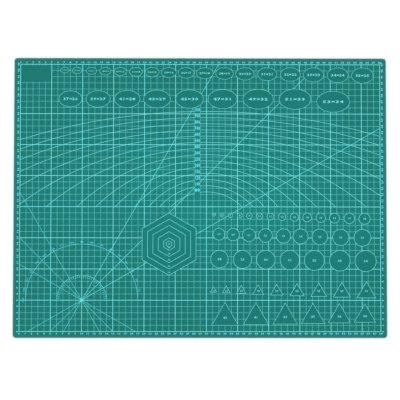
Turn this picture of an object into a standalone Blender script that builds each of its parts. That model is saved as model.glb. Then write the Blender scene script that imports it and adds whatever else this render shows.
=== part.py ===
"""Craft cutting mat: five plastic sheets bonded into one board, with a measuring print on its upper face.

The board lies flat on the table. X runs along its length, Y across it and Z up, and the origin is the
middle of the underside. The print is drawn in grid cells, counted from the lower left corner of the
printed frame, and each group of lines is its own thin film of ink. Where groups cross, one film
passes over the other at its own level.
"""

from dataclasses import dataclass
from math import asin, atan2, cos, inf, pi, radians, sin, sqrt

import bmesh
import bpy
from mathutils import Matrix

MM = 0.001

# Printed grid
CELL = 10.0 * MM
COLUMNS = 58
ROWS = 43
BOLD_STEP = 5
TOP_BOLD_ROW = 35
MARGIN = 10.0 * MM

# Board, from the printed frame and its bare margin
MAT_LENGTH = COLUMNS * CELL + 2 * MARGIN
MAT_WIDTH = ROWS * CELL + 2 * MARGIN
CORNER_RADIUS = 5.0 * MM
CORNER_SEGMENTS = 6
EDGE_EASING = 0.35 * MM
EASING_SEGMENTS = 3
EASING_SHARE_OF_SKIN = 0.8

# Sheets of the laminate
SKIN_THICKNESS = 0.45 * MM
HEALING_THICKNESS = 0.55 * MM
CORE_THICKNESS = 0.80 * MM
BOND_LINE = 0.05 * MM

# Ink
INK_FILM = 0.02 * MM
INK_GAP = 0.01 * MM
FINE_LINE = 0.32 * MM
BOLD_LINE = 0.85 * MM
SHAPE_LINE = 0.55 * MM
LEVEL_FINE_COLUMNS = 0
LEVEL_FINE_ROWS = 1
LEVEL_BOLD_GRID = 2
LEVEL_SHAPES = 3
LEVEL_ANGLE_LINES = 4
WELD_SHARE_OF_FILM = 0.05
HEIGHT_DIGITS = 6

# Protractor, in cells
PROTRACTOR = (10.0, 5.0)
PROTRACTOR_OUTER = 9.0
PROTRACTOR_INNER = 4.0
PROTRACTOR_TICK = 0.45
PROTRACTOR_TICK_DEGREES = 5
PROTRACTOR_SEGMENTS = 24
ANGLE_LINES = (30, 45, 60, 120, 135, 150, 210, 225, 240, 300, 315, 330)
ANGLE_LINES_PAST_HEXAGON = (30, 45)

# Nested hexagons, in cells, corner radius each: the largest has its top corner on the 45 degree line
HEXAGON_RADII = (0.5, 1.0, 2.0, 3.0, 4.0, 5.0)
HEXAGON_RUN = 14.0
HEXAGON = (PROTRACTOR[0] + HEXAGON_RUN, PROTRACTOR[1] + HEXAGON_RUN - HEXAGON_RADII[-1])

# Rows of circles and triangles, in cells: they run to the right of the hexagons
TEMPLATES_PAST_HEXAGON = 6.0
TEMPLATE_LEFT = HEXAGON[0] + TEMPLATES_PAST_HEXAGON
ELLIPSES_LEFT = 5.0

# Radius arcs, in cells: all centred on one bold column, each a cell above the last
ARC_AXIS = TEMPLATE_LEFT
ARC_SPINE = ARC_AXIS - 1.0
ARC_FOOT_ABOVE_HEXAGON = 1.0
ARC_FOOT = HEXAGON[1] + HEXAGON_RADII[-1] + ARC_FOOT_ABOVE_HEXAGON
FIRST_ARC_RISE = 2.4
ARC_TOP_STEP = 1.0
ARC_CEILING = ROWS - 7.5
ARC_RADII = (8.0, 10.0, 12.0, 15.0, 20.0, 25.0, 30.0, 40.0, 50.0, 60.0, 70.0, 80.0, 90.0, 100.0)
ARC_SEGMENTS = 7

# Colours as seen, red, green and blue from 0 to 255
TEAL = (34, 125, 116)
DEEP_TEAL = (30, 105, 100)
CORE_GREY = (55, 113, 108)
INK = (150, 232, 228)


@dataclass(frozen=True)
class TemplateRow:
    """A row of closed shapes strung on one grid line, in cells.

    places are the shapes' middles, counted from the start of the row. The shapes grow or shrink by
    size_step from the first one. An oval is width_share of its height wide, and width_offset more, but
    no more than most_excess wider than high. drop is how far each shape stands below the one before
    it, and last_drop how much further down the last one stands. A shape that the frame has no room
    for is left off.
    """

    name: str
    kind: str
    rail: float
    rail_start: float
    places: tuple
    first_size: float
    size_step: float
    level: float
    drop: float = 0.0
    last_drop: float = 0.0
    hung_from_top: bool = True
    width_share: float = 1.0
    width_offset: float = 0.0
    most_excess: float = inf
    segments: int = 12


TEMPLATE_ROWS = (
    TemplateRow("print_circle_row_small", "oval", rail=ARC_FOOT - 1.0, rail_start=TEMPLATE_LEFT,
                places=(1.2, 2.5, 3.85, 5.35, 6.9, 8.55, 10.3, 12.15, 14.15, 16.2, 18.4, 20.6, 23.0,
                        25.45),
                first_size=0.5, size_step=0.1, level=ARC_FOOT - 1.0),
    TemplateRow("print_circle_row_middle", "oval", rail=ARC_FOOT - 5.0, rail_start=TEMPLATE_LEFT,
                places=(2.0, 4.3, 6.85, 9.5, 12.4, 15.15, 18.25, 21.6, 25.1),
                first_size=1.9, size_step=0.1, level=ARC_FOOT - 3.45, drop=0.02, segments=14),
    TemplateRow("print_circle_row_large", "oval", rail=ARC_FOOT - 7.0, rail_start=TEMPLATE_LEFT,
                places=(2.1, 5.8, 9.55, 13.4, 17.35, 21.45, 25.6),
                first_size=2.8, size_step=0.1, level=ARC_FOOT - 7.0, segments=14),
    TemplateRow("print_ellipse_row_small", "oval", rail=ROWS - 1.0, rail_start=ELLIPSES_LEFT,
                places=(2.1, 4.1, 6.4, 8.65, 11.05, 13.6, 16.2, 18.9, 21.7, 24.7, 27.9, 31.2, 34.8,
                        38.55, 42.3, 46.2, 50.2),
                first_size=0.9, size_step=0.1, level=ROWS - 0.5, width_share=1.5, most_excess=1.0),
    TemplateRow("print_ellipse_row_large", "oval", rail=ROWS - 6.0, rail_start=ELLIPSES_LEFT,
                places=(3.05, 7.5, 12.2, 17.0, 22.25, 27.6, 33.35, 39.3, 45.45),
                first_size=2.6, size_step=0.1, level=ROWS - 5.6, last_drop=0.4, hung_from_top=False,
                width_share=2.0, width_offset=-1.5, segments=14),
    TemplateRow("print_triangle_row_small", "triangle", rail=7.0, rail_start=TEMPLATE_LEFT,
                places=(1.15, 3.2, 5.6, 8.3, 11.3, 14.55, 18.05, 21.75, 25.7),
                first_size=1.0, size_step=0.25, level=6.3, drop=0.1125),
    TemplateRow("print_triangle_row_large", "triangle", rail=2.0, rail_start=TEMPLATE_LEFT,
                places=(3.0, 7.95, 12.65, 17.1, 21.35, 25.45),
                first_size=4.25, size_step=-0.17, level=1.0, drop=-0.1),
)


def linear(channel):
    """Return the linear light of one colour channel given from 0 to 255."""
    share = channel / 255
    if share <= 0.04045:
        return share / 12.92
    return ((share + 0.055) / 1.055) ** 2.4


def make_material(name, colour, roughness):
    """Return a plain Principled material."""
    material = bpy.data.materials.new(name)
    material.use_nodes = True
    shader = material.node_tree.nodes["Principled BSDF"]
    shader.inputs["Base Color"].default_value = (*[linear(channel) for channel in colour], 1.0)
    shader.inputs["Roughness"].default_value = roughness
    shader.inputs["Metallic"].default_value = 0.0
    return material


def clear_scene():
    """Remove every object that the file opened with."""
    for old in list(bpy.data.objects):
        bpy.data.objects.remove(old, do_unlink=True)


def link_object(name, mesh, collection, colour, roughness):
    """Put a finished mesh in the collection under its own name and material."""
    piece = bpy.data.objects.new(name, mesh)
    mesh.materials.append(make_material(name, colour, roughness))
    collection.objects.link(piece)
    return piece


# Sheets

def rim_edges(geometry, side):
    """Return the edges round the upper face of a slab centred on the origin, or round the lower face."""
    return [edge for edge in geometry.edges if all(side * vertex.co.z > 0 for vertex in edge.verts)]


def upright_edges(geometry):
    """Return the edges that run from the lower to the upper face of a slab centred on the origin."""
    return [edge for edge in geometry.edges if edge.verts[0].co.z * edge.verts[1].co.z < 0]


def add_sheet(name, collection, bottom, thickness, colour, eased_side=0):
    """Add one sheet with round corners and return the height of its upper face.

    eased_side is 1 where the upper rim is eased, -1 where the lower rim is, and 0 where neither is.
    """
    geometry = bmesh.new()
    bmesh.ops.create_cube(geometry, size=1.0)
    bmesh.ops.scale(geometry, vec=(MAT_LENGTH, MAT_WIDTH, thickness), verts=geometry.verts)
    bmesh.ops.bevel(geometry, geom=upright_edges(geometry), offset=CORNER_RADIUS,
                    segments=CORNER_SEGMENTS, profile=0.5, affect="EDGES")
    if eased_side:
        easing = min(EDGE_EASING, EASING_SHARE_OF_SKIN * thickness)
        bmesh.ops.bevel(geometry, geom=rim_edges(geometry, eased_side), offset=easing,
                        segments=EASING_SEGMENTS, profile=0.5, affect="EDGES")
    mesh = bpy.data.meshes.new(name)
    geometry.to_mesh(mesh)
    geometry.free()
    sheet = link_object(name, mesh, collection, colour, roughness=0.6)
    sheet.location = (0.0, 0.0, bottom + thickness / 2)
    return bottom + thickness


def build_sheets(collection):
    """Stack the five sheets from the table up and return the height of the board's upper face."""
    stack = (
        ("bottom_skin", SKIN_THICKNESS, TEAL, -1),
        ("lower_healing_layer", HEALING_THICKNESS, DEEP_TEAL, 0),
        ("core_sheet", CORE_THICKNESS, CORE_GREY, 0),
        ("upper_healing_layer", HEALING_THICKNESS, DEEP_TEAL, 0),
        ("top_skin", SKIN_THICKNESS, TEAL, 1),
    )
    bottom = 0.0
    for name, thickness, colour, eased_side in stack:
        top = add_sheet(name, collection, bottom, thickness, colour, eased_side)
        bottom = top + BOND_LINE
    return top


# Flat outlines of the print, in cells

def in_cells(size):
    """Return a real length in cells."""
    return size / CELL


def rectangle(left, low, right, high):
    """Return the corners of a rectangle."""
    return [(left, low), (right, low), (right, high), (left, high)]


def oval(centre, half_width, half_height, segments):
    """Return a closed oval that starts at its highest point."""
    turns = [pi / 2 + step * 2 * pi / segments for step in range(segments)]
    return [(centre[0] + half_width * cos(turn), centre[1] + half_height * sin(turn)) for turn in turns]


def triangle(middle, base, side):
    """Return an upright triangle of three equal sides."""
    return [(middle - side / 2, base), (middle + side / 2, base), (middle, base + side * sqrt(3) / 2)]


def hexagon(centre, corner_radius):
    """Return a hexagon that stands on a corner."""
    turns = [radians(30 + 60 * corner) for corner in range(6)]
    return [(centre[0] + corner_radius * cos(turn), centre[1] + corner_radius * sin(turn)) for turn in turns]


def point_at(centre, radius, turn):
    """Return the point at a radius and an angle from a centre."""
    return centre[0] + radius * cos(turn), centre[1] + radius * sin(turn)


def comb(line_places, line_length, width):
    """Return one closed outline of parallel lines that stand on a common foot line."""
    half = width / 2
    outline = [(line_places[0] - half, -half), (line_places[-1] + half, -half)]
    for place in reversed(line_places):
        if place != line_places[-1]:
            outline.append((place + half, half))
        outline.append((place + half, line_length))
        outline.append((place - half, line_length))
        if place != line_places[0]:
            outline.append((place - half, half))
    return outline


def bold_grid_outlines():
    """Return the frame's outer edge and the openings between the bold lines."""
    half = in_cells(BOLD_LINE) / 2
    columns = [*range(0, COLUMNS, BOLD_STEP), COLUMNS]
    rows = [*range(0, min(TOP_BOLD_ROW, ROWS - 1) + 1, BOLD_STEP), ROWS]
    openings = [rectangle(left + half, low + half, right - half, high - half)
                for left, right in zip(columns, columns[1:])
                for low, high in zip(rows, rows[1:])]
    return [rectangle(-half, -half, COLUMNS + half, ROWS + half), *openings]


def reach_of_arc(radius, top, side_distance):
    """Return the angle from its top at which an arc meets the foot line or a side of the frame."""
    foot_cosine = (ARC_FOOT - top + radius) / radius
    foot_turn = atan2(sqrt(max(0.0, 1 - foot_cosine ** 2)), foot_cosine)
    side_turn = asin(min(1.0, side_distance / radius))
    return min(foot_turn, side_turn)


def arc_branch(radius, top, spine_edge, side_distance, direction):
    """Return one side of an arc line, from the spine along its underside and back along its upper side."""
    half = in_cells(SHAPE_LINE) / 2
    centre_height = top - radius
    end_turn = reach_of_arc(radius, top, side_distance)
    branch = []
    for edge_radius, order in ((radius - half, 1), (radius + half, -1)):
        start_turn = asin((spine_edge - ARC_AXIS) / edge_radius)
        steps = range(ARC_SEGMENTS + 1)[::order]
        for step in steps:
            turn = start_turn + (direction * end_turn - start_turn) * step / ARC_SEGMENTS
            branch.append((ARC_AXIS + edge_radius * sin(turn), centre_height + edge_radius * cos(turn)))
    return branch


def radius_arc_outline():
    """Return all the radius arcs as one outline, branching left and right from a grid line."""
    half = in_cells(FINE_LINE) / 2
    tops = [ARC_FOOT + FIRST_ARC_RISE + ARC_TOP_STEP * order for order in range(len(ARC_RADII))]
    arcs = [(radius, top) for radius, top in zip(ARC_RADII, tops) if top + half < ARC_CEILING]
    outline = [(ARC_SPINE - half, ARC_FOOT), (ARC_SPINE + half, ARC_FOOT)]
    for radius, top in arcs:
        outline += arc_branch(radius, top, ARC_SPINE + half, COLUMNS - ARC_AXIS, 1)
    for radius, top in reversed(arcs):
        outline += reversed(arc_branch(radius, top, ARC_SPINE - half, ARC_AXIS, -1))
    return outline


def protractor_outer_outline():
    """Return the outer half ring of the protractor."""
    half = in_cells(SHAPE_LINE) / 2
    turns = [pi * step / PROTRACTOR_SEGMENTS for step in range(PROTRACTOR_SEGMENTS + 1)]
    outer = [point_at(PROTRACTOR, PROTRACTOR_OUTER + half, turn) for turn in turns]
    inner = [point_at(PROTRACTOR, PROTRACTOR_OUTER - half, turn) for turn in reversed(turns)]
    return outer + inner


def protractor_inner_outline():
    """Return the inner half ring of the protractor, with its ticks pointing at the centre."""
    half = in_cells(SHAPE_LINE) / 2
    turns = [pi * step / PROTRACTOR_SEGMENTS for step in range(PROTRACTOR_SEGMENTS + 1)]
    outline = [point_at(PROTRACTOR, PROTRACTOR_INNER + half, turn) for turn in turns]
    rim = PROTRACTOR_INNER - half
    tip = PROTRACTOR_INNER - PROTRACTOR_TICK
    outline.append(point_at(PROTRACTOR, rim, pi))
    for degrees in range(180 - PROTRACTOR_TICK_DEGREES, 0, -PROTRACTOR_TICK_DEGREES):
        turn = radians(degrees)
        for radius, side in ((rim, 1), (tip, 1), (tip, -1), (rim, -1)):
            outline.append(point_at(PROTRACTOR, radius, turn + side * asin(half / radius)))
    outline.append(point_at(PROTRACTOR, rim, 0.0))
    return outline


def crossings(origin, turn, outline):
    """Return the distances at which a line from the origin crosses a closed outline, nearest first."""
    along = (cos(turn), sin(turn))
    distances = []
    for start, end in zip(outline, outline[1:] + outline[:1]):
        side = (end[0] - start[0], end[1] - start[1])
        away = (start[0] - origin[0], start[1] - origin[1])
        spread = along[0] * side[1] - along[1] * side[0]
        if spread == 0:
            continue
        distance = (away[0] * side[1] - away[1] * side[0]) / spread
        share = (away[0] * along[1] - away[1] * along[0]) / spread
        if distance > 0 and 0 <= share <= 1:
            distances.append(distance)
    return sorted(distances)


def angle_line_outline():
    """Return the star of angle lines from the protractor's centre to the frame or the hexagons."""
    half = in_cells(SHAPE_LINE) / 2
    frame = rectangle(0.0, 0.0, COLUMNS, ROWS)
    largest = hexagon(HEXAGON, HEXAGON_RADII[-1])
    outline = []
    for degrees, following in zip(ANGLE_LINES, ANGLE_LINES[1:] + (ANGLE_LINES[0] + 360,)):
        turn = radians(degrees)
        length = min(crossings(PROTRACTOR, turn, frame) + crossings(PROTRACTOR, turn, largest))
        for side in (-1, 1):
            end = point_at(PROTRACTOR, length, turn)
            outline.append(point_at(end, half, turn + side * pi / 2))
        half_gap = radians(following - degrees) / 2
        outline.append(point_at(PROTRACTOR, half / sin(half_gap), turn + half_gap))
    return outline


def far_angle_line_outline(degrees):
    """Return the stretch of an angle line from the far side of the hexagons to the frame."""
    half = in_cells(SHAPE_LINE) / 2
    turn = radians(degrees)
    start = point_at(PROTRACTOR, crossings(PROTRACTOR, turn, hexagon(HEXAGON, HEXAGON_RADII[-1]))[-1], turn)
    end = point_at(PROTRACTOR, crossings(PROTRACTOR, turn, rectangle(0.0, 0.0, COLUMNS, ROWS))[0], turn)
    return [point_at(start, half, turn - pi / 2), point_at(end, half, turn - pi / 2),
            point_at(end, half, turn + pi / 2), point_at(start, half, turn + pi / 2)]


def boundary_past(outline, height, direction):
    """Return the stretch of a convex outline above or below a level, from left to right.

    direction is 1 for the stretch above the level and -1 for the stretch below it.
    """
    def is_past(point):
        """Tell whether a point lies past the level."""
        return round(direction * (point[1] - height), HEIGHT_DIGITS) > 0

    stretch = [point for point in outline if is_past(point)]
    if not stretch:
        return []
    for start, end in zip(outline, outline[1:] + outline[:1]):
        if is_past(start) != is_past(end):
            share = (height - start[1]) / (end[1] - start[1])
            stretch.append((start[0] + share * (end[0] - start[0]), height))
    level_places = [point[0] for point in stretch if point[1] == height]
    middle = sum(level_places) / len(level_places)
    return sorted(stretch, key=lambda point: -atan2(abs(point[1] - height), point[0] - middle))


def shape_width(row, size):
    """Return how wide a shape of a template row is at its size."""
    if row.kind == "triangle":
        return size
    return min(row.width_share * size + row.width_offset, size + row.most_excess)


def shape_edges(row, order):
    """Return the outer and the inner edge of one shape of a template row."""
    half = in_cells(SHAPE_LINE) / 2
    size = row.first_size + row.size_step * order
    level = row.level - row.drop * order
    if order == len(row.places) - 1:
        level -= row.last_drop
    middle = row.rail_start + row.places[order]
    if row.kind == "triangle":
        growth = 2 * sqrt(3) * half
        return triangle(middle, level - half, size + growth), triangle(middle, level + half, size - growth)
    half_height = size / 2
    half_width = shape_width(row, size) / 2
    centre = (middle, level - half_height if row.hung_from_top else level)
    return (oval(centre, half_width + half, half_height + half, row.segments),
            oval(centre, half_width - half, half_height - half, row.segments))


def template_row_outlines(row):
    """Return a row of shapes joined by the stretches of grid line between them."""
    half = in_cells(SHAPE_LINE) / 2
    edges = [shape_edges(row, order) for order in range(len(row.places))]
    edges = [(outer, inner) for outer, inner in edges if max(point[0] for point in outer) < COLUMNS]
    upper = [(row.rail_start, row.rail + half)]
    lower = [(row.rail_start, row.rail - half)]
    for outer, _ in edges:
        upper += boundary_past(outer, row.rail + half, 1)
        lower += boundary_past(outer, row.rail - half, -1)
    upper.append((COLUMNS, row.rail + half))
    lower.append((COLUMNS, row.rail - half))
    return [upper + lower[::-1], *[inner for _, inner in edges]]


# Films of ink

def add_film(name, collection, outlines, level, board_top, quarter_turn=False):
    """Add one film of ink from its flat outlines, drawn in millimetres and then brought to size.

    With quarter_turn, what is drawn from the foot line upwards runs from the frame's left side instead.
    """
    to_millimetres = CELL / MM
    drawing = bpy.data.curves.new(name, "CURVE")
    drawing.dimensions = "2D"
    drawing.fill_mode = "BOTH"
    drawing.extrude = INK_FILM / MM / 2
    for outline in outlines:
        spline = drawing.splines.new("POLY")
        spline.points.add(len(outline) - 1)
        for point, (across, up) in zip(spline.points, outline):
            point.co = (across * to_millimetres, up * to_millimetres, 0.0, 1.0)
        spline.use_cyclic_u = True
    curve = bpy.data.objects.new(name + "_outline", drawing)
    collection.objects.link(curve)
    bpy.context.view_layer.update()
    evaluated = curve.evaluated_get(bpy.context.evaluated_depsgraph_get())
    mesh = bpy.data.meshes.new_from_object(evaluated)
    bpy.data.objects.remove(curve, do_unlink=True)
    mesh.name = name

    geometry = bmesh.new()
    geometry.from_mesh(mesh)
    bmesh.ops.remove_doubles(geometry, verts=geometry.verts, dist=WELD_SHARE_OF_FILM * INK_FILM / MM)
    bmesh.ops.recalc_face_normals(geometry, faces=geometry.faces)
    geometry.to_mesh(mesh)
    geometry.free()
    mesh.transform(Matrix.Scale(MM, 4))
    if quarter_turn:
        mesh.transform(Matrix.Translation((0.0, ROWS * CELL, 0.0)) @ Matrix.Rotation(-pi / 2, 4, "Z"))

    film = link_object(name, mesh, collection, INK, roughness=0.45)
    height = board_top + INK_GAP + INK_FILM / 2 + level * (INK_FILM + INK_GAP)
    film.location = (-COLUMNS * CELL / 2, -ROWS * CELL / 2, height)
    return film


def hexagon_ring(corner_radius):
    """Return the outer and the inner edge of one hexagon line."""
    corner_offset = in_cells(SHAPE_LINE) / sqrt(3)
    return [hexagon(HEXAGON, corner_radius + corner_offset), hexagon(HEXAGON, corner_radius - corner_offset)]


def build_print(collection, board_top):
    """Lay every group of printed lines on the board."""
    fine = in_cells(FINE_LINE)
    fine_columns = [column for column in range(1, COLUMNS) if column % BOLD_STEP]
    fine_rows = [row for row in range(1, ROWS) if row % BOLD_STEP or row > TOP_BOLD_ROW]
    rows_from_top = [ROWS - row for row in reversed(fine_rows)]
    column_comb = comb(fine_columns, ROWS, fine)
    row_comb = comb(rows_from_top, COLUMNS, fine)
    add_film("print_fine_columns", collection, [column_comb], LEVEL_FINE_COLUMNS, board_top)
    add_film("print_fine_rows", collection, [row_comb], LEVEL_FINE_ROWS, board_top, quarter_turn=True)
    add_film("print_frame_and_bold_grid", collection, bold_grid_outlines(), LEVEL_BOLD_GRID, board_top)
    add_film("print_radius_arcs", collection, [radius_arc_outline()], LEVEL_SHAPES, board_top)
    for order, corner_radius in enumerate(HEXAGON_RADII, start=1):
        add_film(f"print_hexagon_{order}", collection, hexagon_ring(corner_radius), LEVEL_SHAPES, board_top)
    add_film("print_protractor_outer_arc", collection, [protractor_outer_outline()], LEVEL_SHAPES, board_top)
    add_film("print_protractor_inner_arc", collection, [protractor_inner_outline()], LEVEL_SHAPES, board_top)
    for row in TEMPLATE_ROWS:
        add_film(row.name, collection, template_row_outlines(row), LEVEL_SHAPES, board_top)
    add_film("print_angle_lines", collection, [angle_line_outline()], LEVEL_ANGLE_LINES, board_top)
    for degrees in ANGLE_LINES_PAST_HEXAGON:
        name = f"print_angle_line_{degrees}_far"
        add_film(name, collection, [far_angle_line_outline(degrees)], LEVEL_ANGLE_LINES, board_top)


def main():
    """Build the whole mat."""
    clear_scene()
    collection = bpy.data.collections.new("craft_cutting_mat")
    bpy.context.scene.collection.children.link(collection)
    board_top = build_sheets(collection)
    build_print(collection, board_top)


main()
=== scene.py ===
"""Craft cutting mat: the finish of its five sheets and the fine print on its face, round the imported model.

Sizes are in metres unless a field says cells. A cell is one square of the printed grid, and places on the
print are counted in cells from the lower left corner of the printed frame.
"""

import logging
from dataclasses import dataclass, field
from enum import Enum
from math import acos, asin, atan2, cos, degrees, inf, pi, radians, sin, sqrt, tan

import bmesh
import bpy
from mathutils import Color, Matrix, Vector


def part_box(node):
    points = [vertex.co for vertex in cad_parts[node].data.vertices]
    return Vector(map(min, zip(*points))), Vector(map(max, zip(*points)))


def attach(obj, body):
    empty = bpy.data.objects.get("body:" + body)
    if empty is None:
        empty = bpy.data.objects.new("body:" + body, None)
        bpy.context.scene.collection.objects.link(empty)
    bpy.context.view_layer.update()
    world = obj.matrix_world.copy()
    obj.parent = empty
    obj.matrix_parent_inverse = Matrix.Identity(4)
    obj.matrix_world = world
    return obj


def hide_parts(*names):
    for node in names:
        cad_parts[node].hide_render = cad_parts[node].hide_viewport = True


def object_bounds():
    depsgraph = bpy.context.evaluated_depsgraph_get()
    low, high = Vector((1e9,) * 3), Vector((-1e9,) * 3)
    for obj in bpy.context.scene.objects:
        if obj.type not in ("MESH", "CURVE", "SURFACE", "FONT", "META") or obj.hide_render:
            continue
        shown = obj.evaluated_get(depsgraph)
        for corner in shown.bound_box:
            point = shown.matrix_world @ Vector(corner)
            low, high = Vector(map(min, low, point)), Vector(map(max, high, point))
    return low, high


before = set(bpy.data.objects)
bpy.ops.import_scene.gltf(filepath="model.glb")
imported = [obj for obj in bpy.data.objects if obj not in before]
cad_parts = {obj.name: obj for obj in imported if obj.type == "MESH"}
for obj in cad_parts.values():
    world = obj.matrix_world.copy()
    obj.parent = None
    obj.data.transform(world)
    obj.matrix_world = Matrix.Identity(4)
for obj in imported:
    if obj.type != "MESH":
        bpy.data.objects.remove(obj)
cad_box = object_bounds()

MM = 0.001
BODY = "root"
WHITE = (1.0, 1.0, 1.0, 1.0)
HALF_TURN, FULL_TURN = 180, 360
# The print's numbers are in millimetres, and a cell stands for ten
CELL_MM = 10

Point = tuple[float, float]
Span = tuple[float, float]
Outline = list[Point]
Colour = tuple[float, float, float]
Paint = tuple[float, float, float, float]
Socket = bpy.types.NodeSocket
Material = bpy.types.Material

log = logging.getLogger("cutting_mat")


# Colours and node trees

FULL_CHANNEL = 255
# The range that a noise pattern seldom leaves
NOISE_RANGE = (0.3, 0.7)
# The numbers of the Mix node's colour sockets
MIX_SHARE, MIX_FIRST, MIX_SECOND, MIX_RESULT = 0, 6, 7, 2


def paint(colour: Colour) -> Paint:
    """Return a colour as seen, 0 to 255 a channel, in linear light with full cover."""
    return *Color([channel / FULL_CHANNEL for channel in colour]).from_srgb_to_scene_linear(), 1.0


@dataclass
class NodeTree:
    """The node tree of a material or of the world, with short ways to add and join nodes."""

    owner: Material | bpy.types.World
    shader_name: str = "Principled BSDF"
    shader: bpy.types.Node = field(init=False)

    def __post_init__(self) -> None:
        """Find the shader."""
        self.owner.use_nodes = True
        self.shader = self.owner.node_tree.nodes[self.shader_name]

    def feed(self, node: bpy.types.Node, values: dict) -> None:
        """Join sockets to a node's inputs, or set the inputs to plain values.

        Args:
            node: The node.
            values: A socket or a plain value for each input, by the input's name or number.
        """
        for key, value in values.items():
            if isinstance(value, Socket):
                self.owner.node_tree.links.new(value, node.inputs[key])
            else:
                node.inputs[key].default_value = value

    def add(self, kind: str, values: dict | None = None, **properties: object) -> bpy.types.Node:
        """Add a node, set its properties and feed its inputs.

        Args:
            kind: The node's type, without the ShaderNode before it.
            values: A socket or a plain value for each input, by the input's name or number.
            properties: Properties of the node by name.

        Returns:
            The new node.
        """
        node = self.owner.node_tree.nodes.new("ShaderNode" + kind)
        for key, value in properties.items():
            setattr(node, key, value)
        self.feed(node, values or {})
        return node

    def place(self) -> Socket:
        """Return the place on the piece, in metres."""
        return self.add("TexCoord").outputs["Object"]

    def place_parts(self) -> list[Socket]:
        """Return the place on the piece along X and along Y, in metres."""
        return self.add("SeparateXYZ", {"Vector": self.place()}).outputs[:2]

    def math(self, operation: str, *operands: object) -> Socket:
        """Return the result of an operation, such as ADD, on sockets and plain numbers."""
        return self.add("Math", dict(enumerate(operands)), operation=operation).outputs["Value"]

    def slant(self, across: Socket, up: Socket) -> Socket:
        """Return how far it is straight across and up together."""
        squares = [self.math("POWER", part, 2.0) for part in (across, up)]
        return self.math("SQRT", self.math("ADD", *squares))

    def noise(self, grain: float, detail: float = 2.0, roughness: float = 0.5,
              stretch: tuple[float, float, float] = (1.0, 1.0, 1.0)) -> Socket:
        """Return a noise pattern of a real grain size.

        Args:
            grain: The size of one blotch, in metres.
            detail: How many finer layers it has.
            roughness: How strong the finer layers are.
            stretch: How many times longer a blotch is along each axis.

        Returns:
            The noise, about 0.5 in the mean.
        """
        scale = [1.0 / length for length in stretch]
        mapping = self.add("Mapping", {"Vector": self.place(), "Scale": scale})
        return self.add("TexNoise", {"Vector": mapping.outputs["Vector"], "Scale": 1.0 / grain,
                                     "Detail": detail, "Roughness": roughness}).outputs["Fac"]

    def ramp(self, value: Socket, span: Span, start: float = 0.0, end: float = 1.0) -> Socket:
        """Return a value brought from one range to another, without leaving it.

        Args:
            value: The socket that is read.
            span: The values that give the start and the end.
            start: The result at the span's beginning.
            end: The result at the span's end.

        Returns:
            The result's socket.
        """
        ends = {"From Min": span[0], "From Max": span[1], "To Min": start, "To Max": end}
        return self.add("MapRange", {"Value": value, **ends}).outputs["Result"]

    def blend(self, share: Socket, first: object, second: object) -> Socket:
        """Return a mix of two colours, each a socket or a plain colour, by the second one's share."""
        values = {MIX_SHARE: share, MIX_FIRST: first, MIX_SECOND: second}
        return self.add("Mix", values, data_type="RGBA").outputs[MIX_RESULT]

    def bump(self, height: Socket, depth: float, below: Socket | None = None) -> Socket:
        """Return a surface direction roughened by a height pattern.

        Args:
            height: The pattern, from 0 to 1.
            depth: How deep the pattern is, in metres.
            below: A coarser roughening that this one lies on.

        Returns:
            The direction's socket.
        """
        values = {"Strength": 1.0, "Distance": depth, "Height": height}
        if below is not None:
            values["Normal"] = below
        return self.add("Bump", values).outputs["Normal"]

    def dress(self, colour: Socket, direction: Socket, roughness: Socket, specular: float) -> Material:
        """Join the patterns of a surface that isn't metal to the shader.

        Args:
            colour: The colour.
            direction: The roughened direction.
            roughness: The roughness.
            specular: The specular level, the same all over.

        Returns:
            The material.
        """
        self.feed(self.shader, {"Base Color": colour, "Metallic": 0.0, "Normal": direction,
                                "Roughness": roughness, "Specular IOR Level": specular})
        return self.owner


# Finishes

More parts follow.
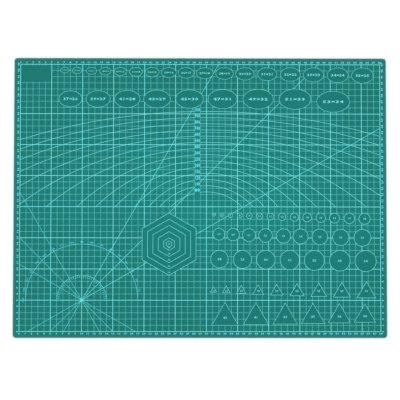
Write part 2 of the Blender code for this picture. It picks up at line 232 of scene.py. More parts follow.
@dataclass(frozen=True)
class SkinFinish:
    """Matt teal plastic of the outer sheets: an even grain, faint clouding and a greyer band of painted shade
    at the edge.

    A painted pool of light makes the plastic a shade lighter over the middle of the board. Here and in the
    other finishes the roughness is given where the pattern is low and where it is high.
    """

    colour: Colour = (18, 124, 116)
    # The colour, centre (middle) and reach of a painted pool of light over the middle of the board
    middle_colour: Colour = (18, 139, 132)
    middle: Point = (35 * MM, 12 * MM)
    middle_reach: Span = (380 * MM, 190 * MM)
    middle_core: float = 0.2
    # A greyer band of painted shade along the sheet's rounded edge
    band_colour: Colour = (58, 121, 116)
    band_width: float = 3.4 * MM
    band_softness: float = 2.4 * MM
    cloud: float = 90 * MM
    cloud_range: Span = (0.35, 0.65)
    cloud_share: float = 0.25
    grain: float = 0.55 * MM
    grain_depth: float = 0.018 * MM
    tooth: float = 0.12 * MM
    tooth_depth: float = 0.006 * MM
    roughness: Span = (0.55, 0.65)
    specular: float = 0.15

    def make(self, name: str, half: Vector) -> Material:
        """Make the material for a sheet.

        Args:
            name: The material's name.
            half: Half the sheet's size along each axis.

        Returns:
            The material.
        """
        tree = NodeTree(bpy.data.materials.new(name))
        places = tree.place_parts()
        insets = [tree.math("SUBTRACT", reach, tree.math("ABSOLUTE", place))
                  for reach, place in zip(half, places)]
        # Painted shade: a greyer band along the sheet's rounded edge
        edge_shade_start = self.band_width - self.band_softness / 2
        edge_shade = tree.ramp(tree.math("SMOOTH_MIN", *insets, self.band_width),
                         (edge_shade_start, edge_shade_start + self.band_softness), 1.0, 0.0)
        # Painted light: the plastic is lighter in a pool about the middle, fading out towards the edges
        aside = [tree.math("DIVIDE", tree.math("SUBTRACT", place, middle), reach)
                 for place, middle, reach in zip(places, self.middle, self.middle_reach)]
        painted_light = tree.ramp(tree.slant(*aside), (self.middle_core, 1.0), 1.0 - self.cloud_share, 0.0)
        clouds = tree.ramp(tree.noise(self.cloud, detail=3.0), self.cloud_range, 0.0, self.cloud_share)
        share = tree.math("ADD", painted_light, clouds)
        ground = tree.blend(share, paint(self.colour), paint(self.middle_colour))
        grain = tree.noise(self.grain, detail=1.0)
        tooth = tree.bump(tree.noise(self.tooth), self.tooth_depth, tree.bump(grain, self.grain_depth))
        return tree.dress(tree.blend(edge_shade, ground, paint(self.band_colour)), tooth,
                          tree.ramp(grain, NOISE_RANGE, *self.roughness), self.specular)


@dataclass(frozen=True)
class GrainFinish:
    """A finish in two shades of a colour, shared out by a fine grain that also sets the roughness.

    Unless other values are given, it is screen ink, a little uneven where the mesh of the screen laid it
    down. upright is how many times higher than wide the grain is.
    """

    colour: Colour
    low_colour: Colour
    grain: float = 0.5 * MM
    detail: float = 3.0
    grain_roughness: float = 0.6
    upright: float = 1.0
    shade_range: Span = (0.35, 0.55)
    relief: float = 0.14 * MM
    relief_depth: float = 0.004 * MM
    roughness: Span = (0.58, 0.44)
    specular: float = 0.25

    def make(self, name: str) -> Material:
        """Make the material.

        Args:
            name: The material's name.

        Returns:
            The material.
        """
        tree = NodeTree(bpy.data.materials.new(name))
        stretch = (1.0, 1.0, self.upright)
        grain = tree.noise(self.grain, self.detail, self.grain_roughness, stretch)
        shade = tree.ramp(grain, self.shade_range)
        return tree.dress(tree.blend(shade, paint(self.low_colour), paint(self.colour)),
                          tree.bump(tree.noise(self.relief, stretch=stretch), self.relief_depth),
                          tree.ramp(grain, NOISE_RANGE, *self.roughness), self.specular)


PRINT_INK = GrainFinish((137, 255, 255), (124, 248, 250))
ANGLE_INK = GrainFinish((114, 254, 255), (102, 246, 250))
EDGE_INK = GrainFinish((120, 242, 255), (108, 232, 250))
LABEL_INK = GrainFinish((98, 235, 255), (88, 225, 250))

# Plastic of an inner sheet, seen only at the cut edge, where the knife left fine upright marks
CUT_EDGE = {"grain": 0.6 * MM, "detail": 2.0, "grain_roughness": 0.5, "upright": 6.0, "specular": 0.2,
            "shade_range": NOISE_RANGE, "relief": 0.6 * MM, "relief_depth": 0.02 * MM,
            "roughness": (0.73, 0.61)}


# The printed grid and its flat geometry

@dataclass
class Grid:
    """The printed grid: its size in cells, its lines, and its cell and corner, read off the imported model."""

    columns: int = 58
    rows: int = 43
    bold_step: int = 5
    top_bold_row: int = 35
    fine_line: float = 0.32 * MM
    bold_line: float = 0.85 * MM
    shape_line: float = 0.55 * MM
    frame_node: str = "print_frame_and_bold_grid"
    cell: float = field(init=False)
    corner: Vector = field(init=False)

    def __post_init__(self) -> None:
        """Find the side of one cell, and the lower left corner on the middle of the frame's line."""
        low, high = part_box(self.frame_node)
        length = high.x - low.x
        width = high.y - low.y
        self.cell = (length - width) / (self.columns - self.rows)
        line = length - self.columns * self.cell
        self.corner = Vector((low.x + line / 2, low.y + line / 2, 0.0))

    def spot(self, place: Point, height: float) -> Vector:
        """Return a place given in cells, at a height, as a place in metres."""
        return self.corner + Vector((place[0] * self.cell, place[1] * self.cell, height))


def away_from(centre: Point, distance: float, turn: float) -> Point:
    """Return the place at a distance and an angle from a centre."""
    return centre[0] + distance * cos(turn), centre[1] + distance * sin(turn)


def rectangle(left: float, low: float, right: float, high: float) -> Outline:
    """Return the corners of a rectangle, anticlockwise."""
    return [(left, low), (right, low), (right, high), (left, high)]


@dataclass(frozen=True)
class Shape:
    """One closed shape of the print, in cells: its middle, how far it reaches from there, and its corners."""

    middle: Point
    half_width: float
    half_height: float
    corners: int

    def outline(self) -> Outline:
        """Return the corners, anticlockwise from the one at the top."""
        turns = [pi / 2 + 2 * pi * corner / self.corners for corner in range(self.corners)]
        return [(self.middle[0] + self.half_width * cos(turn), self.middle[1] + self.half_height * sin(turn))
                for turn in turns]


def open_stretches(start: Point, end: Point, covers: list[Outline]) -> list[tuple[Point, Point]]:
    """Return the stretches of a straight line that no outline covers.

    Args:
        start: Where the line starts.
        end: Where the line ends.
        covers: Convex outlines, anticlockwise.

    Returns:
        The start and end of each open stretch.
    """
    run = (end[0] - start[0], end[1] - start[1])
    spans = [(1.0, 1.0)]
    for outline in covers:
        enter, leave = 0.0, 1.0
        for corner, following in zip(outline, outline[1:] + outline[:1]):
            inward = (corner[1] - following[1], following[0] - corner[0])
            away = inward[0] * (start[0] - corner[0]) + inward[1] * (start[1] - corner[1])
            gain = inward[0] * run[0] + inward[1] * run[1]
            if gain > 0:
                enter = max(enter, -away / gain)
            elif gain < 0:
                leave = min(leave, -away / gain)
            elif away < 0:
                leave = 0.0
        if enter < leave:
            spans.append((enter, leave))
    stretches = []
    reached = 0.0
    for enter, leave in sorted(spans):
        if enter > reached:
            ends = [(start[0] + run[0] * share, start[1] + run[1] * share) for share in (reached, enter)]
            stretches.append((ends[0], ends[1]))
        reached = max(reached, leave)
    return stretches


# Modelling

def add_object(name: str, data: object = None) -> bpy.types.Object:
    """Add an object to the scene.

    Args:
        name: Its name.
        data: Its mesh, lamp or camera, or None for a new empty mesh of the same name.

    Returns:
        The object.
    """
    added = bpy.data.objects.new(name, data or bpy.data.meshes.new(name))
    bpy.context.scene.collection.objects.link(added)
    return added


def deselect_everything() -> None:
    """Leave nothing selected."""
    for chosen in list(bpy.context.selected_objects):
        chosen.select_set(False)


def hand_over(piece: bpy.types.Object, material: Material, *nodes: str) -> None:
    """Dress a finished piece, make it ride on the mat and let it stand for its nodes.

    Args:
        piece: The finished piece.
        material: Its material.
        nodes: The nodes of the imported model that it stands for.
    """
    piece.data.materials.clear()
    piece.data.materials.append(material)
    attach(piece, BODY)
    if nodes:
        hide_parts(*nodes)
    log.info("%s: %d faces", piece.name, len(piece.data.polygons))


@dataclass
class InkFilm:
    """One film of ink on the grid, drawn shape by shape in edit mode and then finished as a piece.

    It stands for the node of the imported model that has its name, and lies on that node's level.
    """

    name: str
    grid: Grid
    ink: Material
    shoulder: float = 0.004 * MM
    upward: float = 0.5
    low: float = field(init=False)
    middle: float = field(init=False)
    thickness: float = field(init=False)
    piece: bpy.types.Object = field(init=False)

    def __post_init__(self) -> None:
        """Find the film's level, start an empty piece and open it for editing."""
        low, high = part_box("print_" + self.name)
        self.low, self.middle, self.thickness = low.z, (low.z + high.z) / 2, high.z - low.z
        deselect_everything()
        self.piece = add_object("ink_" + self.name)
        bpy.context.view_layer.objects.active = self.piece
        self.piece.select_set(True)
        bpy.ops.object.mode_set(mode="EDIT")

    def strip(self, start: Point, end: Point, width: float) -> None:
        """Add a straight line.

        Args:
            start: Where it starts, in cells.
            end: Where it ends, in cells.
            width: How wide it is, in metres.
        """
        run = (end[0] - start[0], end[1] - start[1])
        length = sqrt(run[0] ** 2 + run[1] ** 2) * self.grid.cell
        middle = self.grid.spot(((start[0] + end[0]) / 2, (start[1] + end[1]) / 2), self.middle)
        bpy.ops.mesh.primitive_cube_add(size=1.0, location=middle, rotation=(0, 0, atan2(run[1], run[0])),
                                        scale=(length, width, self.thickness))

    def broken_strip(self, start: Point, end: Point, covers: list[Outline], width: float) -> None:
        """Add a straight line, broken inside the outlines that cover it."""
        for stretch in open_stretches(start, end, covers):
            self.strip(*stretch, width)

    def ring(self, shape: Shape, width: float) -> None:
        """Add a closed line along a shape's outline, flat until it is raised.

        Args:
            shape: The shape, whose outline is the middle of the line.
            width: How wide the line is, in metres.
        """
        spread = width / 2 / cos(pi / shape.corners)
        tall = shape.half_height * self.grid.cell + spread
        wide = shape.half_width * self.grid.cell + spread
        middle = self.grid.spot(shape.middle, self.low)
        bpy.ops.mesh.primitive_circle_add(vertices=shape.corners, radius=tall, fill_type="NGON",
                                          location=middle)
        bpy.ops.transform.resize(value=(wide / tall, 1.0, 1.0), center_override=middle)
        bpy.ops.mesh.inset(thickness=width, use_even_offset=True, use_individual=True)
        bpy.ops.mesh.delete(type="FACE")

    def star(self, centre: Point, radius: float, notch: float, turns: tuple[int, ...], closest: int) -> None:
        """Start the film with the flat spot where straight lines meet, notched where they stand apart.

        Args:
            centre: Its middle, in cells.
            radius: How far it reaches along the lines, in metres.
            notch: How far it reaches where no line is near, in metres.
            turns: The angles of the lines, in degrees.
            closest: The angle between the closest two lines, in degrees.
        """
        middle = self.grid.spot(centre, self.low)
        bpy.ops.mesh.select_mode(type="VERT")
        bpy.ops.mesh.primitive_circle_add(vertices=FULL_TURN // closest, radius=radius, fill_type="NGON",
                                          location=middle, rotation=(0.0, 0.0, radians(closest / 2)))
        geometry = bmesh.from_edit_mesh(self.piece.data)
        for vertex in geometry.verts:
            away = vertex.co - middle
            turn = degrees(atan2(away.y, away.x))
            gaps = [abs((turn - line + HALF_TURN) % FULL_TURN - HALF_TURN) for line in turns]
            vertex.select_set(min(gaps) > closest)
        geometry.select_flush_mode()
        bmesh.update_edit_mesh(self.piece.data)
        bpy.ops.transform.resize(value=(notch / radius, notch / radius, 1.0), center_override=middle)

    def raise_flat(self) -> None:
        """Give the flat shapes that were added their thickness."""
        bpy.ops.mesh.select_all(action="SELECT")
        bpy.ops.mesh.extrude_region_move(TRANSFORM_OT_translate={"value": (0.0, 0.0, self.thickness)})

    def bow(self, centre: Point, radius: float, turns: Span, steps: int, width: float) -> None:
        """Add a round line that isn't closed, swept about its centre.

        Args:
            centre: The centre, in cells.
            radius: The radius of the line's middle, in cells.
            turns: The angles at which it starts and ends, anticlockwise from +X.
            steps: How many straight runs it has.
            width: How wide the line is, in metres.
        """
        start = self.grid.spot(away_from(centre, radius, turns[0]), self.middle)
        bpy.ops.mesh.primitive_plane_add(size=width, location=start, rotation=(pi / 2, 0.0, turns[0]))
        bpy.ops.transform.resize(value=(1.0, 1.0, self.thickness / width), center_override=start)
        bpy.ops.mesh.spin(steps=steps, angle=turns[1] - turns[0], axis=(0.0, 0.0, -1.0),
                          center=self.grid.spot(centre, 0.0))

    def disc(self, centre: Point, radius: float, corners: int) -> None:
        """Add a solid round spot about a place in cells, with its radius in metres."""
        bpy.ops.mesh.primitive_cylinder_add(vertices=corners, radius=radius, depth=self.thickness,
                                            location=self.grid.spot(centre, self.middle))

    def ease_upper_edges(self) -> None:
        """Bevel the edges round each upper face, because ink dries with a soft shoulder."""
        geometry = bmesh.from_edit_mesh(self.piece.data)
        for face in geometry.faces:
            face.select_set(False)
        bpy.ops.mesh.select_mode(type="EDGE")
        for edge in geometry.edges:
            upper = all(vertex.co.z > self.middle for vertex in edge.verts)
            flat = [face.normal.z > self.upward for face in edge.link_faces]
            edge.select_set(upper and len(flat) == 2 and flat[0] != flat[1])
        bmesh.update_edit_mesh(self.piece.data)
        bpy.ops.mesh.bevel(offset=self.shoulder, segments=1, affect="EDGES")

    def finish(self) -> None:
        """Close the film, ease its upper edges and hand it over in its node's place."""
        bpy.ops.mesh.select_all(action="SELECT")
        bpy.ops.mesh.normals_make_consistent(inside=False)
        self.ease_upper_edges()
        bpy.ops.object.mode_set(mode="OBJECT")
        hand_over(self.piece, self.ink, "print_" + self.name)


@dataclass(frozen=True)
class Number:
    """One number of the print: its middle in cells, its height, the width it is fitted to, and its turn."""

    text: str
    middle: Point
    height: float
    width: float | None = None
    turn: float = 0.0


@dataclass
class Numerals:
    """The digits of the print, each modelled once and then copied for every number.

    They lie on the print's highest level. A digit's cap_height and advance are those of the font, and it
    is drawn breadth times as wide.
    """

    grid: Grid
    weight: float = 0.02
    signs: str = "0123456789×"
    advance: float = 0.56
    cap_height: float = 0.685
    breadth: float = 1.25
    half_depth: float = 0.5
    curve_steps: int = 1
    weld: float = 0.0001
    top_node: str = "print_angle_lines"
    level: float = field(init=False)
    thickness: float = field(init=False)
    moulds: dict[str, bpy.types.Mesh] = field(default_factory=dict)

    def __post_init__(self) -> None:
        """Find the level, and model each sign with its middle at the origin and its height one metre."""
        low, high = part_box(self.top_node)
        self.level, self.thickness = (low.z + high.z) / 2, high.z - low.z
        for sign in self.signs:
            deselect_everything()
            bpy.ops.object.text_add()
            written = bpy.context.object
            written.data.body = sign
            written.data.resolution_u = self.curve_steps
            written.data.extrude = self.half_depth
            written.data.offset = self.weight
            bpy.ops.object.convert(target="MESH")
            mould = bpy.context.object
            bpy.ops.object.mode_set(mode="EDIT")
            bpy.ops.mesh.select_all(action="SELECT")
            bpy.ops.mesh.remove_doubles(threshold=self.weld)
            bpy.ops.mesh.beautify_fill(angle_limit=pi)
            bpy.ops.mesh.normals_make_consistent(inside=False)
            places = [vertex.co.x for vertex in bmesh.from_edit_mesh(mould.data).verts]
            middle = (min(places) + max(places)) / 2
            bpy.ops.transform.translate(value=(-middle, -self.cap_height / 2, 0.0))
            grow = 1.0 / self.cap_height
            bpy.ops.transform.resize(value=(grow * self.breadth, grow, 1.0), center_override=(0.0, 0.0, 0.0))
            bpy.ops.object.mode_set(mode="OBJECT")
            self.moulds[sign] = mould.data
            bpy.data.objects.remove(mould)

    def write(self, name: str, numbers: list[Number], ink: Material) -> None:
        """Write a group of numbers as one piece.

        Args:
            name: The group's name.
            numbers: The numbers.
            ink: The ink.
        """
        deselect_everything()
        piece = add_object("ink_" + name)
        piece.select_set(True)
        for number in numbers:
            natural = number.height * self.breadth * self.advance / self.cap_height
            pitch = number.width / len(number.text) if number.width else natural
            for order, sign in enumerate(number.text):
                shift = (order - (len(number.text) - 1) / 2) * pitch
                aside = Vector((shift * cos(number.turn), shift * sin(number.turn), 0.0))
                digit = add_object("digit", self.moulds[sign].copy())
                digit.location = self.grid.spot(number.middle, self.level) + aside
                digit.rotation_euler = (0.0, 0.0, number.turn)
                digit.scale = (number.height * pitch / natural, number.height, self.thickness)
                digit.select_set(True)
        bpy.context.view_layer.objects.active = piece
        bpy.ops.object.join()
        hand_over(piece, ink)

    def drop_moulds(self) -> None:
        """Delete the moulds once every number is written."""
        for mould in self.moulds.values():
            bpy.data.meshes.remove(mould)


# Sub-assemblies

PROTRACTOR_CENTRE = (10.0, 5.0)


@dataclass(frozen=True)
class PrintGroup:
    """A group of lines that are printed on the grid in one ink."""

    grid: Grid
    ink: Material

    def film(self, name: str) -> InkFilm:
        """Start one of the group's films."""
        return InkFilm(name, self.grid, self.ink)


class ShapeKind(Enum):
    """What a row of drawing shapes is made of, by how many corners each shape's line has."""

    OVAL = 72
    TRIANGLE = 3


@dataclass(frozen=True)
class TemplateRow:
    """A row of closed drawing shapes with a number in each, in cells.

    places are the shapes' middles, counted from the start of the row. The shapes grow or shrink by
    size_step from the first one. An oval is width_share of its height wide, and width_offset more, but
    no more than most_excess wider than high. drop is how far each shape stands below the one before it,
    and last_drop how much further down the last one stands. A number stands in the middle of its shape,
    or at number_level where the row has one, and is fitted to number_width_share of its shape's width
    where the row has one. line_share is how wide the row's line is against the print's usual one.
    """

    name: str
    places: tuple[float, ...]
    first_size: float
    level: float
    kind: ShapeKind = ShapeKind.OVAL
    start: float = 30.0
    size_step: float = 0.1
    drop: float = 0.0
    last_drop: float = 0.0
    hung_from_top: bool = True
    width_share: float = 1.0
    width_offset: float = 0.0
    most_excess: float = inf
    line_share: float = 1.0
    number_height: float = 2.6 * MM
    number_share: float = 0.42
    number_width_share: float | None = None
    number_level: float | None = None

    def size(self, order: int) -> float:
        """Return the height of one oval, or the side of one triangle."""
        return self.first_size + self.size_step * order

    def shapes(self) -> list[Shape]:
        """Return the row's shapes.

        Returns:
            The shapes in order. The middle of a triangle is equally far from its corners.
        """
        shapes = []
        for order, place in enumerate(self.places):
            size = self.size(order)
            half_width = min(self.width_share * size + self.width_offset, size + self.most_excess) / 2
            half_height = size / 2
            level = self.level - self.drop * order
            if order == len(self.places) - 1:
                level -= self.last_drop
            if self.kind is ShapeKind.TRIANGLE:
                half_width = half_height = size / sqrt(3)
                level += size / (2 * sqrt(3))
            elif self.hung_from_top:
                level -= half_height
            shapes.append(Shape((self.start + place, level), half_width, half_height, self.kind.value))
        return shapes

    def build(self, grid: Grid, ink: Material) -> None:
        """Model the row's lines.

        Args:
            grid: The printed grid.
            ink: The ink.
        """
        film = InkFilm(self.name, grid, ink)
        for shape in self.shapes():
            film.ring(shape, grid.shape_line * self.line_share)
        film.raise_flat()
        film.finish()

    def numbers(self, cell: float) -> list[Number]:
        """Return the number in each shape: its size, or its width by its height where these differ.

        Args:
            cell: The side of one cell, in metres.

        Returns:
            The numbers.
        """
        numbers = []
        for order, shape in enumerate(self.shapes()):
            size, width = self.size(order), 2 * shape.half_width
            text = str(round(CELL_MM * size))
            if self.kind is ShapeKind.OVAL and round(CELL_MM * width) != round(CELL_MM * size):
                text = f"{round(CELL_MM * width)}×{text}"
            level = shape.middle[1] if self.number_level is None else self.number_level
            height = min(self.number_height, self.number_share * size * cell)
            fitted = self.number_width_share * width * cell if self.number_width_share else None
            numbers.append(Number(text, (shape.middle[0], level), height, fitted))
        return numbers


@dataclass(frozen=True)
class HexagonNest(PrintGroup):
    """Six hexagons about a centre dot, each on a corner, and all but the first with a number in the foot."""

    centre: Point = (24.0, 14.0)
    radii: tuple[float, ...] = (0.5, 1.0, 2.0, 3.0, 4.0, 5.0)
    corners: int = 6
    number_rise: float = 0.47
    number_height: float = 2.0 * MM
    dot_radius: float = 0.9 * MM
    dot_corners: int = 16

    def shapes(self) -> list[Shape]:
        """Return the hexagons, the smallest first."""
        return [Shape(self.centre, radius, radius, self.corners) for radius in self.radii]

    def build(self) -> None:
        """Model each hexagon's line, and the dot with the first."""
        for order, shape in enumerate(self.shapes(), start=1):
            film = self.film(f"hexagon_{order}")
            film.ring(shape, self.grid.shape_line)
            film.raise_flat()
            if order == 1:
                film.disc(self.centre, self.dot_radius, self.dot_corners)
            film.finish()

    def numbers(self) -> list[Number]:
        """Return the hexagons' corner radii, each in its hexagon's foot."""
        across, up = self.centre
        return [Number(str(round(CELL_MM * radius)), (across, up - radius + self.number_rise),
                       self.number_height) for radius in self.radii[1:]]


@dataclass(frozen=True)
class Protractor(PrintGroup):
    """A half-circle protractor: an outer bow with numbers along it, and an inner bow with ticks inside it.

    inner_share is how wide the inner bow and its ticks are against the print's usual line.
    """

    centre: Point = PROTRACTOR_CENTRE
    outer: float = 9.0
    inner: float = 4.0
    tick: float = 0.45
    tick_degrees: int = 5
    inner_share: float = 0.85
    number_degrees: int = 10
    number_radius: float = 9.37
    number_height: float = 2.6 * MM
    steps: int = 90

    def build(self) -> None:
        """Model both bows and the ticks."""
        outer = self.film("protractor_outer_arc")
        outer.bow(self.centre, self.outer, (0.0, pi), self.steps, self.grid.shape_line)
        outer.finish()
        inner = self.film("protractor_inner_arc")
        line = self.grid.shape_line * self.inner_share
        inner.bow(self.centre, self.inner, (0.0, pi), self.steps, line)
        ends = (self.inner - self.tick, self.inner - line / self.grid.cell / 2)
        for step in range(self.tick_degrees, HALF_TURN, self.tick_degrees):
            inner.strip(*[away_from(self.centre, end, radians(step)) for end in ends], line)
        inner.finish()

    def numbers(self) -> list[Number]:
        """Return the degrees round the outer bow."""
        turns = {step: radians(step) for step in range(0, HALF_TURN + 1, self.number_degrees)}
        return [Number(str(step), away_from(self.centre, self.number_radius, turn), self.number_height,
                       turn=turn - pi / 2) for step, turn in turns.items()]


@dataclass(frozen=True)
class AngleLines(PrintGroup):
    """Straight lines that meet in a star at the protractor's centre, broken inside the drawing shapes.

    The long lines are wider than the print's usual line and the short ones narrower, by these shares. The
    star's notches are notch_steps of the closest turn away from the nearest line. The stretches of the far
    turns that begin right of far_from are a film for each turn.
    """

    covers: list[Outline]
    centre: Point = PROTRACTOR_CENTRE
    turns: tuple[int, ...] = (30, 45, 60, 120, 135, 150, 210, 225, 240, 300, 315, 330)
    long_turns: tuple[int, ...] = (30, 45, 60)
    long_share: float = 1.15
    short_share: float = 0.8
    far_turns: tuple[int, ...] = (30, 45)
    far_from: float = 20.0
    closest_turn: int = 15
    notch_steps: float = 1.5
    star_gap: float = 0.02 * MM

    def build(self) -> None:
        """Model the star, the near lines and the far ones."""
        half = self.width(self.long_turns[0]) / 2
        star = half / tan(radians(self.closest_turn / 2))
        first = (star + self.star_gap) / self.grid.cell
        notch = half / sin(radians(self.closest_turn * self.notch_steps))
        near = self.film("angle_lines")
        near.star(self.centre, star, notch, self.turns, self.closest_turn)
        near.raise_flat()
        far_lines = {turn: [] for turn in self.far_turns}
        for turn in self.turns:
            ends = [away_from(self.centre, distance, radians(turn))
                    for distance in (first, self.reach(radians(turn)))]
            for stretch in open_stretches(*ends, self.covers):
                if turn in self.far_turns and stretch[0][0] > self.far_from:
                    far_lines[turn].append(stretch)
                else:
                    near.strip(*stretch, self.width(turn))
        near.finish()
        for turn, stretches in far_lines.items():
            film = self.film(f"angle_line_{turn}_far")
            for stretch in stretches:
                film.strip(*stretch, self.width(turn))
            film.finish()

    def width(self, turn: int) -> float:
        """Return how wide the line at one angle is."""
        return self.grid.shape_line * (self.long_share if turn in self.long_turns else self.short_share)

    def reach(self, turn: float) -> float:
        """Return how far it is from the centre to the frame in a direction that isn't square to it."""
        ways = zip(self.centre, (cos(turn), sin(turn)), (self.grid.columns, self.grid.rows))
        return min(((limit if step > 0 else 0) - middle) / step for middle, step, limit in ways)


@dataclass(frozen=True)
class RadiusArcs(PrintGroup):
    """Arcs of growing radius over one bold column, each a cell above the last, with a column of numbers.

    The column in which nothing else is printed begins below the first crown and ends above the last.
    """

    axis: float = 30.0
    foot: float = 20.0
    first_rise: float = 2.4
    top_step: float = 1.0
    radii: tuple[float, ...] = (8.0, 10.0, 12.0, 15.0, 20.0, 25.0, 30.0, 40.0, 50.0, 60.0, 70.0, 80.0, 90.0,
                                100.0)
    column: Span = (28.1, 28.95)
    column_below: float = 0.5
    column_above: float = 0.6
    number_lift: float = 0.29
    number_height: float = 5.6 * MM
    number_width: float = 8.8 * MM
    steps: int = 48

    def top(self, order: int) -> float:
        """Return the height of one arc's crown."""
        return self.foot + self.first_rise + self.top_step * order

    def cover(self) -> Outline:
        """Return the column in which only the arcs' numbers are printed."""
        low, high = self.top(0) - self.column_below, self.top(len(self.radii) - 1) + self.column_above
        return rectangle(self.column[0], low, self.column[1], high)

    def reach(self, order: int, side: float) -> float:
        """Return the angle from an arc's crown to the foot line or to a side so far from the axis."""
        radius = self.radii[order]
        return min(acos((self.foot - self.top(order) + radius) / radius), asin(min(1.0, side / radius)))

    def build(self) -> None:
        """Model the arcs, each in two stretches with the column of numbers between them."""
        film = self.film("radius_arcs")
        for order, radius in enumerate(self.radii):
            left, right = [asin((self.axis - side) / radius) for side in self.column]
            ends = (self.reach(order, self.axis), -self.reach(order, self.grid.columns - self.axis))
            for turns in ((pi / 2 + left, pi / 2 + ends[0]), (pi / 2 + ends[1], pi / 2 + right)):
                film.bow((self.axis, self.top(order) - radius), radius, turns, self.steps,
                         self.grid.shape_line)
        film.finish()

    def numbers(self) -> list[Number]:
        """Return the arcs' radii, each just above its arc's crown."""
        across = sum(self.column) / 2
        return [Number(str(round(CELL_MM * radius)), (across, self.top(order) + self.number_lift),
                       self.number_height, self.number_width) for order, radius in enumerate(self.radii)]


@dataclass(frozen=True)
class GridLines(PrintGroup):
    """The fine and the bold lines of the grid, broken inside the outlines that cover each, and the frame."""

    fine_covers: list[Outline]
    bold_covers: list[Outline]
    bare_block: tuple[float, float, float, float] = (0.0, 40.2, 5.0, 42.8)

    def build(self) -> None:
        """Model the fine lines, and then the bold ones."""
        grid = self.grid
        fine_covers = self.fine_covers + [rectangle(*self.bare_block)]
        columns = [column for column in range(1, grid.columns) if column % grid.bold_step]
        rows = [row for row in range(1, grid.rows) if row % grid.bold_step or row > grid.top_bold_row]
        fine_runs = {"fine_columns": [((column, 0.0), (column, grid.rows)) for column in columns],
                     "fine_rows": [((0.0, row), (grid.columns, row)) for row in rows]}
        for name, runs in fine_runs.items():
            film = self.film(name)
            for run in runs:
                film.broken_strip(*run, fine_covers, grid.fine_line)
            film.finish()
        self.build_bold()

    def build_bold(self) -> None:
        """Model the frame and the bold lines, with whole rows and the columns set between them."""
        grid = self.grid
        film = self.film("frame_and_bold_grid")
        half = grid.bold_line / grid.cell / 2
        rows = [*range(0, grid.top_bold_row + 1, grid.bold_step), grid.rows]
        for row in rows:
            breaks = [] if row in (0, grid.rows) else self.bold_covers
            film.broken_strip((-half, row), (grid.columns + half, row), breaks, grid.bold_line)
        for column in [*range(0, grid.columns, grid.bold_step), grid.columns]:
            breaks = [] if column in (0, grid.columns) else self.bold_covers
            for below, above in zip(rows, rows[1:]):
                film.broken_strip((column, below + half), (column, above - half), breaks, grid.bold_line)
        film.finish()


@dataclass(frozen=True)
class EdgeNumbers:
    """The centimetres written outside the printed frame, on all four sides."""

    gap: float = 0.33
    height: float = 2.5 * MM
    digit_width: float = 2.8 * MM

    def sides(self, grid: Grid) -> dict[str, list[Number]]:
        """Return the numbers of each side, every digit as wide as the next.

        Args:
            grid: The printed grid.

        Returns:
            The numbers by the side's name.
        """
        columns, rows = range(grid.columns + 1), range(grid.rows + 1)
        places = {"bottom": [(column, -self.gap) for column in columns],
                  "top": [(column, grid.rows + self.gap) for column in columns],
                  "left": [(-self.gap, row) for row in rows],
                  "right": [(grid.columns + self.gap, row) for row in rows]}
        turns = {"left": pi / 2, "right": pi / 2}
        return {side: [Number(str(count), place, self.height, self.digit_width * len(str(count)),
                              turns.get(side, 0.0)) for count, place in enumerate(spots)]
                for side, spots in places.items()}


@dataclass(frozen=True)
class Board:
    """The five bonded sheets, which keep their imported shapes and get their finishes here."""

    skins: tuple[str, ...] = ("top_skin", "bottom_skin")
    healing_layers: tuple[str, ...] = ("upper_healing_layer", "lower_healing_layer")
    core: str = "core_sheet"
    skin_finish: SkinFinish = SkinFinish()
    healing_finish: GrainFinish = GrainFinish((34, 112, 106), (26, 96, 90), **CUT_EDGE)
    core_finish: GrainFinish = GrainFinish((64, 116, 110), (52, 100, 96), **CUT_EDGE)

    def dress(self) -> None:
        """Give each sheet its material."""
        low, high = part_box(self.skins[0])
        for name in self.skins:
            self.cover(name, self.skin_finish.make("plastic_" + name, (high - low) / 2))
        for name in self.healing_layers:
            self.cover(name, self.healing_finish.make("plastic_" + name))
        self.cover(self.core, self.core_finish.make("plastic_" + self.core))

    def cover(self, name: str, material: Material) -> None:
        """Assign a material to all of a packed sheet's slots.

        Args:
            name: The sheet's node.
            material: The material.
        """
        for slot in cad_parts[name].material_slots:
            slot.material = material
        log.info("%s dressed", name)


# Studio

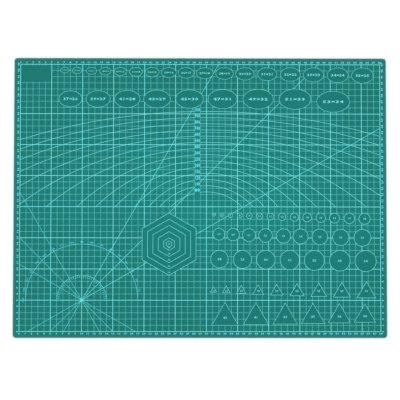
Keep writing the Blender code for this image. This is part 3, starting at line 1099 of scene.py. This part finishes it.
@dataclass(frozen=True)
class Studio:
    """A pale floor, soft lamps round the mat, and the camera straight above it."""

    floor_drop: float = 0.3 * MM
    floor_size: float = 12.0
    floor_colour: Colour = (246, 246, 246)
    floor_roughness: float = 0.9
    floor_glow: float = 0.2
    # A painted aqua glow on the floor beside the mat, standing in for light bounced off it
    cast_glow: float = 0.4
    cast_colour: Paint = (0.38, 1.0, 1.0, 1.0)
    cast_range: Span = (4 * MM, 9 * MM)
    # A painted shadow: the floor's glow fades to nothing over this distance from the mat
    contact_shade: float = 1.6 * MM
    far_range: Span = (0.6, 3.0)
    far_glow: float = 0.8
    lamp_distance: float = 2.6
    lamp_height: float = 2.2
    lamp_size: float = 1.4
    lamp_power: float = 30.8
    lamps: int = 4
    world_strength: float = 0.25
    camera_place: tuple[float, float, float] = (-0.00773, -0.05076, 1.5)
    camera_turn: tuple[float, float, float] = (1.786, -0.283, 0.056)
    camera_lens: float = 83.757
    sensor: float = 36.0

    def build(self) -> None:
        """Set up the floor, the lamps, the world and the camera."""
        self.lay_floor()
        self.hang_lamps()
        self.light_world()
        self.place_camera()
        bpy.context.scene.view_settings.view_transform = "Standard"

    def lay_floor(self) -> None:
        """Lay the floor, which the camera sees as white, with the mat's shadow, a painted shadow at its edge
        and a painted aqua glow beside it.
        """
        deselect_everything()
        bpy.ops.mesh.primitive_plane_add(size=self.floor_size, location=(0.0, 0.0, -self.floor_drop))
        floor = bpy.context.object
        floor.name = "studio_floor"
        tree = NodeTree(bpy.data.materials.new("studio_floor"))
        half = (cad_box[1] - cad_box[0]) / 2
        outside = [tree.math("MAXIMUM", tree.math("SUBTRACT", tree.math("ABSOLUTE", place), reach), 0.0)
                   for place, reach in zip(tree.place_parts(), half)]
        away = tree.slant(*outside)
        # Painted light: an aqua glow on the floor near the mat
        painted_bounce = tree.ramp(away, self.cast_range, 1.0, 0.0)
        glow_with_painted_bounce = tree.ramp(painted_bounce, (0.0, 1.0), self.floor_glow, self.cast_glow)
        glow = tree.math("ADD", glow_with_painted_bounce, tree.ramp(away, self.far_range, 0.0, self.far_glow))
        # Painted shadow: the glow fades out towards the mat's edge
        painted_shadow_share = tree.math("MULTIPLY", self.seen(tree), tree.ramp(away, (0.0, self.contact_shade)))
        tree.feed(tree.shader, {"Base Color": paint(self.floor_colour), "Metallic": 0.0,
                                "Roughness": self.floor_roughness, "Specular IOR Level": 0.0,
                                "Emission Strength": tree.math("MULTIPLY", painted_shadow_share, glow),
                                "Emission Color": tree.blend(painted_bounce, WHITE, self.cast_colour)})
        floor.data.materials.append(tree.owner)

    def seen(self, tree: NodeTree) -> Socket:
        """Return 1 for rays from the eye, off a gloss or through glass, and 0 for the rest."""
        rays = tree.add("LightPath").outputs
        return tree.math("MAXIMUM", tree.math("MAXIMUM", rays["Is Camera Ray"], rays["Is Glossy Ray"]),
                         rays["Is Transmission Ray"])

    def hang_lamps(self) -> None:
        """Hang soft lamps all round, all aimed at the mat's middle."""
        for order in range(self.lamps):
            turn = 2 * pi * (order + 0.5) / self.lamps
            place = Vector((self.lamp_distance * cos(turn), self.lamp_distance * sin(turn), self.lamp_height))
            light = bpy.data.lights.new(f"softbox_{order + 1}", "AREA")
            light.energy = self.lamp_power
            light.size = self.lamp_size
            lamp = add_object(light.name, light)
            lamp.location = place
            lamp.rotation_euler = (-place).to_track_quat("-Z", "Y").to_euler()

    def light_world(self) -> None:
        """Fill in from all round with an even grey that the eye sees as white."""
        world = bpy.data.worlds.new("studio")
        tree = NodeTree(world, "Background")
        seen = tree.add("LightPath").outputs["Is Camera Ray"]
        strength = tree.ramp(seen, (0.0, 1.0), self.world_strength)
        tree.feed(tree.shader, {"Color": WHITE, "Strength": strength})
        bpy.context.scene.world = world

    def place_camera(self) -> None:
        """Stand the camera where the photograph was taken from."""
        lens = bpy.data.cameras.new("camera")
        lens.sensor_width = self.sensor
        lens.lens = self.camera_lens
        camera = add_object("camera", lens)
        camera.location = self.camera_place
        camera.rotation_euler = [radians(turn) for turn in self.camera_turn]
        bpy.context.scene.camera = camera


# The whole print

ELLIPSES_START = 5.0

TEMPLATE_ROWS = (
    TemplateRow("circle_row_small",
                (1.2, 2.5, 3.85, 5.35, 6.9, 8.55, 10.3, 12.15, 14.15, 16.2, 18.4, 20.6, 23.0, 25.45),
                first_size=0.5, level=19.0),
    TemplateRow("circle_row_middle", (2.0, 4.3, 6.85, 9.5, 12.4, 15.15, 18.25, 21.6, 25.1),
                first_size=1.9, level=16.55, drop=0.02),
    TemplateRow("circle_row_large", (2.1, 5.8, 9.55, 13.4, 17.35, 21.45, 25.6),
                first_size=2.8, level=13.0, number_height=3.2 * MM),
    TemplateRow("ellipse_row_small",
                (2.1, 4.1, 6.4, 8.65, 11.05, 13.6, 16.2, 18.9, 21.7, 24.7, 27.9, 31.2, 34.8, 38.55, 42.3,
                 46.2, 50.2),
                first_size=0.9, level=42.5, start=ELLIPSES_START, width_share=1.5, most_excess=1.0,
                line_share=0.76, number_share=0.16, number_width_share=0.65, number_height=3.6 * MM),
    TemplateRow("ellipse_row_large", (3.05, 7.5, 12.2, 17.0, 22.25, 27.6, 33.35, 39.3, 45.45),
                first_size=2.6, level=37.4, start=ELLIPSES_START, last_drop=0.4, hung_from_top=False,
                width_share=2.0, width_offset=-1.5, line_share=0.84, number_width_share=0.65,
                number_height=3.9 * MM),
    TemplateRow("triangle_row_small", (1.15, 3.2, 5.6, 8.3, 11.3, 14.55, 18.05, 21.75, 25.7),
                first_size=1.0, level=6.3, kind=ShapeKind.TRIANGLE, size_step=0.25, drop=0.1125,
                number_share=0.2, number_level=6.5),
    TemplateRow("triangle_row_large", (3.0, 7.95, 12.65, 17.1, 21.35, 25.45),
                first_size=4.25, level=1.0, kind=ShapeKind.TRIANGLE, size_step=-0.17, drop=-0.1,
                line_share=0.86, number_height=3.2 * MM),
)


@dataclass(frozen=True)
class Print:
    """Everything that is printed on the mat, in four tints of one ink."""

    grid: Grid
    ink: Material
    angle_ink: Material
    edge_ink: Material
    label_ink: Material
    label_weight: float = 0.045

    def build(self) -> None:
        """Model every group of lines and then every group of numbers, the arcs' and the edge's heavier."""
        arcs = RadiusArcs(self.grid, self.ink)
        hexagons = HexagonNest(self.grid, self.ink)
        protractor = Protractor(self.grid, self.angle_ink)
        shapes = [shape.outline() for row in TEMPLATE_ROWS for shape in row.shapes()]
        shapes.append(hexagons.shapes()[-1].outline())
        covers = shapes + [arcs.cover()]
        GridLines(self.grid, self.ink, covers, shapes).build()
        arcs.build()
        hexagons.build()
        protractor.build()
        for row in TEMPLATE_ROWS:
            row.build(self.grid, self.ink)
        AngleLines(self.grid, self.angle_ink, covers).build()
        numerals = Numerals(self.grid)
        heavy = Numerals(self.grid, self.label_weight)
        for side, numbers in EdgeNumbers().sides(self.grid).items():
            heavy.write("numbers_" + side, numbers, self.edge_ink)
        heavy.write("arc_numbers", arcs.numbers(), self.label_ink)
        numerals.write("protractor_numbers", protractor.numbers(), self.label_ink)
        numerals.write("hexagon_numbers", hexagons.numbers(), self.ink)
        for row in TEMPLATE_ROWS:
            numerals.write(row.name + "_numbers", row.numbers(self.grid.cell), self.ink)
        numerals.drop_moulds()
        heavy.drop_moulds()


def main() -> None:
    """Build the studio, dress the board and lay the print on it."""
    logging.basicConfig(level=logging.INFO, format="%(message)s")
    Studio().build()
    Board().dress()
    Print(Grid(), PRINT_INK.make("aqua_ink"), ANGLE_INK.make("angle_aqua_ink"),
          EDGE_INK.make("edge_aqua_ink"), LABEL_INK.make("blue_aqua_ink")).build()


if __name__ == "__main__":
    main()
